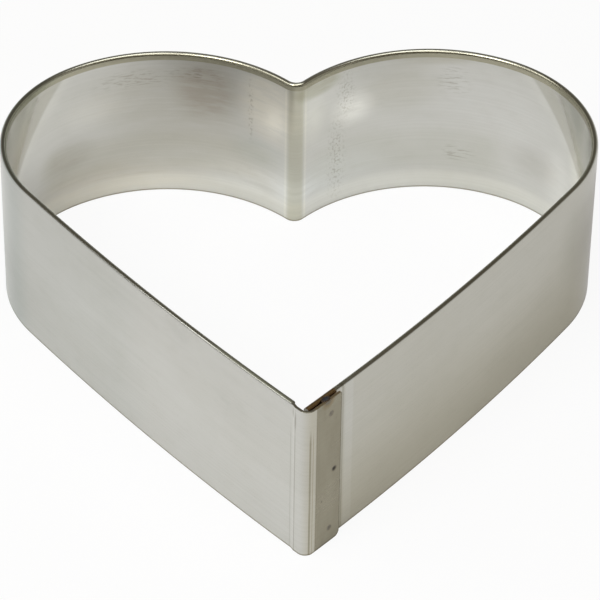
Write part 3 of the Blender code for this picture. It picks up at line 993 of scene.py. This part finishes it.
def weld_finish(name, colour, roughness):
    """Weld metal: blue grey where it was hottest, browner outwards, with fine scale."""
    material, tree, shader = new_material(name)
    shader.inputs["Metallic"].default_value = 1
    place = add(tree, "ShaderNodeTexCoord").outputs["Object"]
    outwards = add(tree, "ShaderNodeAttribute", attribute_name=OUTWARDS).outputs["Fac"]
    scale = add(tree, "ShaderNodeTexNoise", {"Vector": place, "Scale": 2600, "Detail": 3}).outputs[0]
    cooler = fade(tree, calculate(tree, "MULTIPLY_ADD", scale, 0.4, outwards), 0.5, 1.15)
    tone = tint(tree, cooler, (*colour.middle, 1), (*colour.rim, 1))
    mottled = tint(tree, fade(tree, scale, 0.35, 0.7, 0, 0.5), tone, (*colour.scale, 1))
    tree.links.new(mottled, shader.inputs["Base Color"])
    tree.links.new(calculate(tree, "MULTIPLY_ADD", scale, 0.3, roughness), shader.inputs["Roughness"])
    bump = add(tree, "ShaderNodeBump", {"Strength": 1, "Distance": 1, "Height": calculate(
        tree, "MULTIPLY", scale, 0.02 * MM)})
    tree.links.new(bump.outputs[0], shader.inputs["Normal"])
    return material


def hand_in(piece, node):
    """Lets a finished piece ride with the ring in place of its plain solid."""
    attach(piece, "root")
    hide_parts(node)


def spot_places(sizes, welds):
    """Each spot weld's name, distance from the tab's free edge and height."""
    return (
        ("upper", welds.outer_spots, sizes.height - welds.spot_inset),
        ("middle", welds.middle_spot, sizes.height / 2),
        ("lower", welds.outer_spots, welds.spot_inset),
    )


def spot_frames(sizes, lap, welds):
    """Each spot weld's name and its axes on the tab's outer face, with Z out of the face."""
    run = lay_out(sizes, lap)
    upright = Matrix.Rotation(-math.pi / 2, 4, "X")
    return [
        (name, lap_frame(run, back, height, 0.0) @ upright)
        for name, back, height in spot_places(sizes, welds)]


def dish_ball(welds):
    """Radius of the ball whose cap is the dish, and how far its middle stands out of the face."""
    radius = welds.spot_diameter / 2
    ball = (radius**2 + welds.spot_dish**2) / (2 * welds.spot_dish)
    return ball, ball - welds.spot_dish


def press_dishes(piece, strip, welds):
    """Cuts the dishes of the spot welds into the tab, and gives the cut its place on the strip."""
    sizes, lap = strip.sizes, strip.lap
    ball, stand = dish_ball(welds)
    bm = bmesh.new()
    for _, axes in spot_frames(sizes, lap, welds):
        bmesh.ops.create_uvsphere(
            bm, u_segments=SPOT_SIDES, v_segments=BALL_BANDS, radius=ball,
            matrix=axes @ Matrix.Translation((0, 0, stand)))
    cutter = finish_mesh("dish_cutter", bm, [])
    cut = piece.modifiers.new("dishes", "BOOLEAN")
    cut.operation = "DIFFERENCE"
    cut.solver = "EXACT"
    cut.object = cutter
    even = piece.modifiers.new("even_shading", "WEIGHTED_NORMAL")
    even.keep_sharp = True
    settle(piece)
    bpy.data.objects.remove(cutter)
    along, across = (piece.data.attributes[name].data for name in (ALONG, ACROSS))
    places = spot_places(sizes, welds)
    for (_, axes), (_, back, height) in zip(spot_frames(sizes, lap, welds), places):
        to_spot = axes.inverted()
        for vert in piece.data.vertices:
            spot = to_spot @ vert.co
            if spot.xy.length < welds.spot_diameter * 0.55 and abs(spot.z) < welds.spot_dish * 1.5:
                along[vert.index].value = strip.travelled - back - spot.x
                across[vert.index].value = height - spot.y


def ring_settings(scene):
    """The sizes of the strip, of the lap and of the welds."""
    return scene.cake_ring_strip, scene.cake_ring_lap, scene.cake_ring_welds


class CAKE_RING_OT_band(bpy.types.Operator):
    """Build the hemmed band of stainless sheet with its lapped tip"""

    bl_idname = "cake_ring.band"
    bl_label = "Heart band"

    def execute(self, context):
        sizes, lap, welds = ring_settings(context.scene)
        finish = context.scene.cake_ring_finish
        strip = Strip(sizes, lap)
        strip.build()
        bm = strip.bm
        bmesh.ops.recalc_face_normals(bm, faces=bm.faces)
        side = max(bm.faces, key=lambda face: face.calc_center_median().x)
        if side.normal.x < 0:
            bmesh.ops.reverse_faces(bm, faces=bm.faces)
        thicken(bm, sizes.sheet)
        break_edges(bm, sizes, strip.travelled - lap.tab_length - lap.hem_notch, strip.along)
        make_marks_group()
        make_patch_group()
        make_heat_group()
        places = {name: (strip.travelled - back, height) for name, back, height in spot_places(sizes, welds)}
        places["tack"] = (strip.travelled - lap.tab_length / 2, sizes.height)
        materials = [
            outer_finish(finish, strip, places), inner_finish(finish, strip), cut_finish(finish, strip)]
        piece = finish_mesh("heart_sheet", bm, materials)
        press_dishes(piece, strip, welds)
        hand_in(piece, "heart_band")
        return {"FINISHED"}


class CAKE_RING_OT_spot_welds(bpy.types.Operator):
    """Build the three spot welds in the tab's dishes"""

    bl_idname = "cake_ring.spot_welds"
    bl_label = "Spot welds"

    def execute(self, context):
        sizes, lap, welds = ring_settings(context.scene)
        ball, stand = dish_ball(welds)
        reach = math.asin(welds.spot_diameter / 2 / ball)
        for name, axes in spot_frames(sizes, lap, welds):
            bm = bmesh.new()
            outwards = bm.verts.layers.float.new(OUTWARDS)
            skin = []
            for band in range(SPOT_BANDS + 1):
                share = band / SPOT_BANDS
                lean = reach * share
                proud = welds.spot_proud * (1 - share**4)
                skin.append(bm.verts.new((
                    (ball - proud) * math.sin(lean), 0, stand - (ball - proud) * math.cos(lean))))
                skin[-1][outwards] = share
            skin.append(bm.verts.new((0, 0, -2 * welds.spot_dish)))
            edges = [bm.edges.new(pair) for pair in zip(skin, skin[1:])]
            bmesh.ops.spin(
                bm, geom=skin + edges, cent=(0, 0, 0), axis=(0, 0, 1), angle=math.tau, steps=SPOT_SIDES,
                use_merge=True)
            bmesh.ops.remove_doubles(bm, verts=bm.verts, dist=MERGE_DISTANCE)
            bmesh.ops.recalc_face_normals(bm, faces=bm.faces)
            bm.transform(axes)
            material = weld_finish("spot_metal_" + name, SPOT_TONES[name], SPOT_ROUGHNESS)
            piece = finish_mesh("spot_nugget_" + name, bm, [material])
            piece.data.set_sharp_from_angle(angle=SKIN_CREASE)
            hand_in(piece, "spot_weld_" + name)
        return {"FINISHED"}


class CAKE_RING_OT_tack_weld(bpy.types.Operator):
    """Build the tack weld's rippled bead on the lap's top edge"""

    bl_idname = "cake_ring.tack_weld"
    bl_label = "Tack weld"

    def execute(self, context):
        sizes, lap, welds = ring_settings(context.scene)
        bm = bmesh.new()
        outwards = bm.verts.layers.float.new(OUTWARDS)
        bmesh.ops.create_uvsphere(bm, u_segments=TACK_SIDES, v_segments=TACK_BANDS, radius=1)
        for vert in bm.verts:
            vert[outwards] = vert.co.xy.length
            ridge = 0.5 - 0.5 * math.cos(TACK_RIDGES * math.tau * (vert.co.x + 0.5 * vert.co.y**2))
            rise = welds.tack_crown if vert.co.z > 0 else welds.tack_depth
            dip = welds.tack_ripple * ridge * max(vert.co.z, 0)
            vert.co = (
                vert.co.x * welds.tack_length / 2, vert.co.y * welds.tack_width / 2, vert.co.z * rise - dip)
        run = lay_out(sizes, lap)
        valley = -(sizes.sheet + lap.lap_gap / 2)
        bm.transform(lap_frame(run, lap.tab_length / 2, sizes.height, valley))
        material = weld_finish("tack_metal", TACK_TONE, TACK_ROUGHNESS)
        hand_in(finish_mesh("tack_bead", bm, [material]), "tack_weld_top")
        return {"FINISHED"}


def ray_share(tree, camera_share, other_share):
    """Socket of how much of the white background is seen by the camera's rays, or by others."""
    path = add(tree, "ShaderNodeLightPath").outputs
    other = calculate(tree, "MAXIMUM", path["Is Glossy Ray"], path["Is Transmission Ray"])
    seen = calculate(tree, "MULTIPLY", other, other_share)
    return calculate(tree, "MAXIMUM", calculate(tree, "MULTIPLY", path["Is Camera Ray"], camera_share), seen)


def floor_finish(colour):
    """Pale floor that shows as the white background and keeps a part of the ring's shadow."""
    material, tree, shader = new_material("pale_floor")
    shader.inputs["Base Color"].default_value = (*colour, 1)
    shader.inputs["Roughness"].default_value = FLOOR_ROUGHNESS
    glow = add(tree, "ShaderNodeEmission", {"Color": (1, 1, 1, 1), "Strength": 1})
    share = ray_share(tree, FLOOR_WHITE_TO_CAMERA, FLOOR_WHITE_TO_METAL)
    mixed = add(tree, "ShaderNodeMixShader", {0: share, 1: shader.outputs[0], 2: glow.outputs[0]})
    tree.links.new(mixed.outputs[0], tree.nodes["Material Output"].inputs["Surface"])
    return material


def studio_world(surround):
    """White background, and the dim room that the metal mirrors, with its pale panel and horizon."""
    world = bpy.data.worlds.new("studio")
    world.use_nodes = True
    tree = world.node_tree
    seen_way = add(tree, "ShaderNodeTexCoord").outputs["Generated"]
    way = add(tree, "ShaderNodeSeparateXYZ", {0: seen_way}).outputs
    overhead = fade(tree, way[2], *OVERHEAD_FADE, 0.0, OVERHEAD_SHOWN)
    horizon = fade(tree, way[2], *HORIZON_FADE, HORIZON_SHOWN, 0.0)
    horizon = calculate(tree, "MULTIPLY", horizon, fade(tree, way[1], *CAMERA_SIDE_FADE))
    path = add(tree, "ShaderNodeLightPath").outputs
    mirrored = calculate(tree, "MAXIMUM", path["Is Glossy Ray"], path["Is Transmission Ray"])
    in_metal = calculate(tree, "MULTIPLY", mirrored, calculate(tree, "MAXIMUM", overhead, horizon))
    white = calculate(tree, "MAXIMUM", path["Is Camera Ray"], in_metal)
    colour = tint(tree, white, (*surround, 1), (1, 1, 1, 1))
    tree.links.new(colour, tree.nodes["Background"].inputs["Color"])
    return world


def direction(azimuth, elevation):
    """Unit vector of a compass direction and a height above the horizon."""
    level = math.cos(elevation)
    return Vector((math.sin(azimuth) * level, math.cos(azimuth) * level, math.sin(elevation)))


def place_softbox(scene, box, distance):
    """Round area lamp that faces the middle of the ring."""
    light = bpy.data.lights.new(box.name, "AREA")
    light.shape = "DISK"
    light.size = box.size
    light.energy = box.energy
    lamp = bpy.data.objects.new(box.name, light)
    away = direction(box.azimuth, box.elevation)
    lamp.location = away * distance
    lamp.rotation_mode = "QUATERNION"
    lamp.rotation_quaternion = (-away).to_track_quat("-Z", "Y")
    lamp.visible_camera = False
    scene.collection.objects.link(lamp)


def place_camera(scene, studio):
    """Camera that looks down on the ring from the side of its tip."""
    data = bpy.data.cameras.new("camera")
    data.lens = studio.lens
    data.sensor_width = SENSOR_WIDTH_MM
    data.shift_x = studio.shift_x
    data.shift_y = studio.shift_y
    camera = bpy.data.objects.new("camera", data)
    ahead = direction(studio.azimuth, -studio.elevation)
    aim = Vector((0, 0, (BAND_LOW.z + BAND_HIGH.z) / 2))
    camera.rotation_mode = "QUATERNION"
    turn = ahead.to_track_quat("-Z", "Y").to_matrix().to_4x4() @ Matrix.Rotation(studio.roll, 4, "Z")
    camera.matrix_world = Matrix.Translation(aim - ahead * studio.distance) @ turn
    scene.collection.objects.link(camera)
    scene.camera = camera


class CAKE_RING_OT_stage(bpy.types.Operator):
    """Build the floor, the soft light and the camera"""

    bl_idname = "cake_ring.stage"
    bl_label = "Studio stage"

    def execute(self, context):
        scene = context.scene
        studio = scene.cake_ring_studio
        bm = bmesh.new()
        bmesh.ops.create_grid(bm, x_segments=1, y_segments=1, size=studio.floor_size / 2)
        floor = finish_mesh("floor", bm, [floor_finish(studio.floor)])
        scene.world = studio_world(studio.surround)
        for box in SOFTBOXES:
            place_softbox(scene, box, studio.light_distance)
        place_camera(scene, studio)
        scene.view_settings.view_transform = "Standard"
        return {"FINISHED"}


class CAKE_RING_PT_panel(bpy.types.Panel):
    """Sizes, finish and building steps of the cake ring"""

    bl_idname = "CAKE_RING_PT_panel"
    bl_label = "Cake ring"
    bl_space_type = "VIEW_3D"
    bl_region_type = "UI"
    bl_category = "Cake ring"

    def draw(self, context):
        for title, group, steps in PANEL_PARTS:
            box = self.layout.box()
            box.label(text=title)
            settings = getattr(context.scene, group)
            for name in settings.__annotations__:
                box.prop(settings, name)
            for step in steps:
                box.operator(step)


# Each box of the panel: its title, its settings and the steps that use them
PANEL_PARTS = (
    ("Strip", "cake_ring_strip", ()),
    ("Lap", "cake_ring_lap", ("cake_ring.band",)),
    ("Welds", "cake_ring_welds", ("cake_ring.spot_welds", "cake_ring.tack_weld")),
    ("Finish", "cake_ring_finish", ()),
    ("Studio", "cake_ring_studio", ("cake_ring.stage",)),
)

CLASSES = (
    StripSizes,
    LapSizes,
    WeldSizes,
    SheetFinish,
    StudioSettings,
    CAKE_RING_OT_band,
    CAKE_RING_OT_spot_welds,
    CAKE_RING_OT_tack_weld,
    CAKE_RING_OT_stage,
    CAKE_RING_PT_panel,
)


SETTINGS = (
    ("cake_ring_strip", StripSizes),
    ("cake_ring_lap", LapSizes),
    ("cake_ring_welds", WeldSizes),
    ("cake_ring_finish", SheetFinish),
    ("cake_ring_studio", StudioSettings),
)


def register():
    for item in CLASSES:
        bpy.utils.register_class(item)
    for name, group in SETTINGS:
        setattr(bpy.types.Scene, name, PointerProperty(type=group))


def unregister():
    for name, _ in reversed(SETTINGS):
        delattr(bpy.types.Scene, name)
    for item in reversed(CLASSES):
        bpy.utils.unregister_class(item)


def main():
    register()
    bpy.ops.cake_ring.band()
    bpy.ops.cake_ring.spot_welds()
    bpy.ops.cake_ring.tack_weld()
    bpy.ops.cake_ring.stage()


if __name__ == "__main__":
    main()
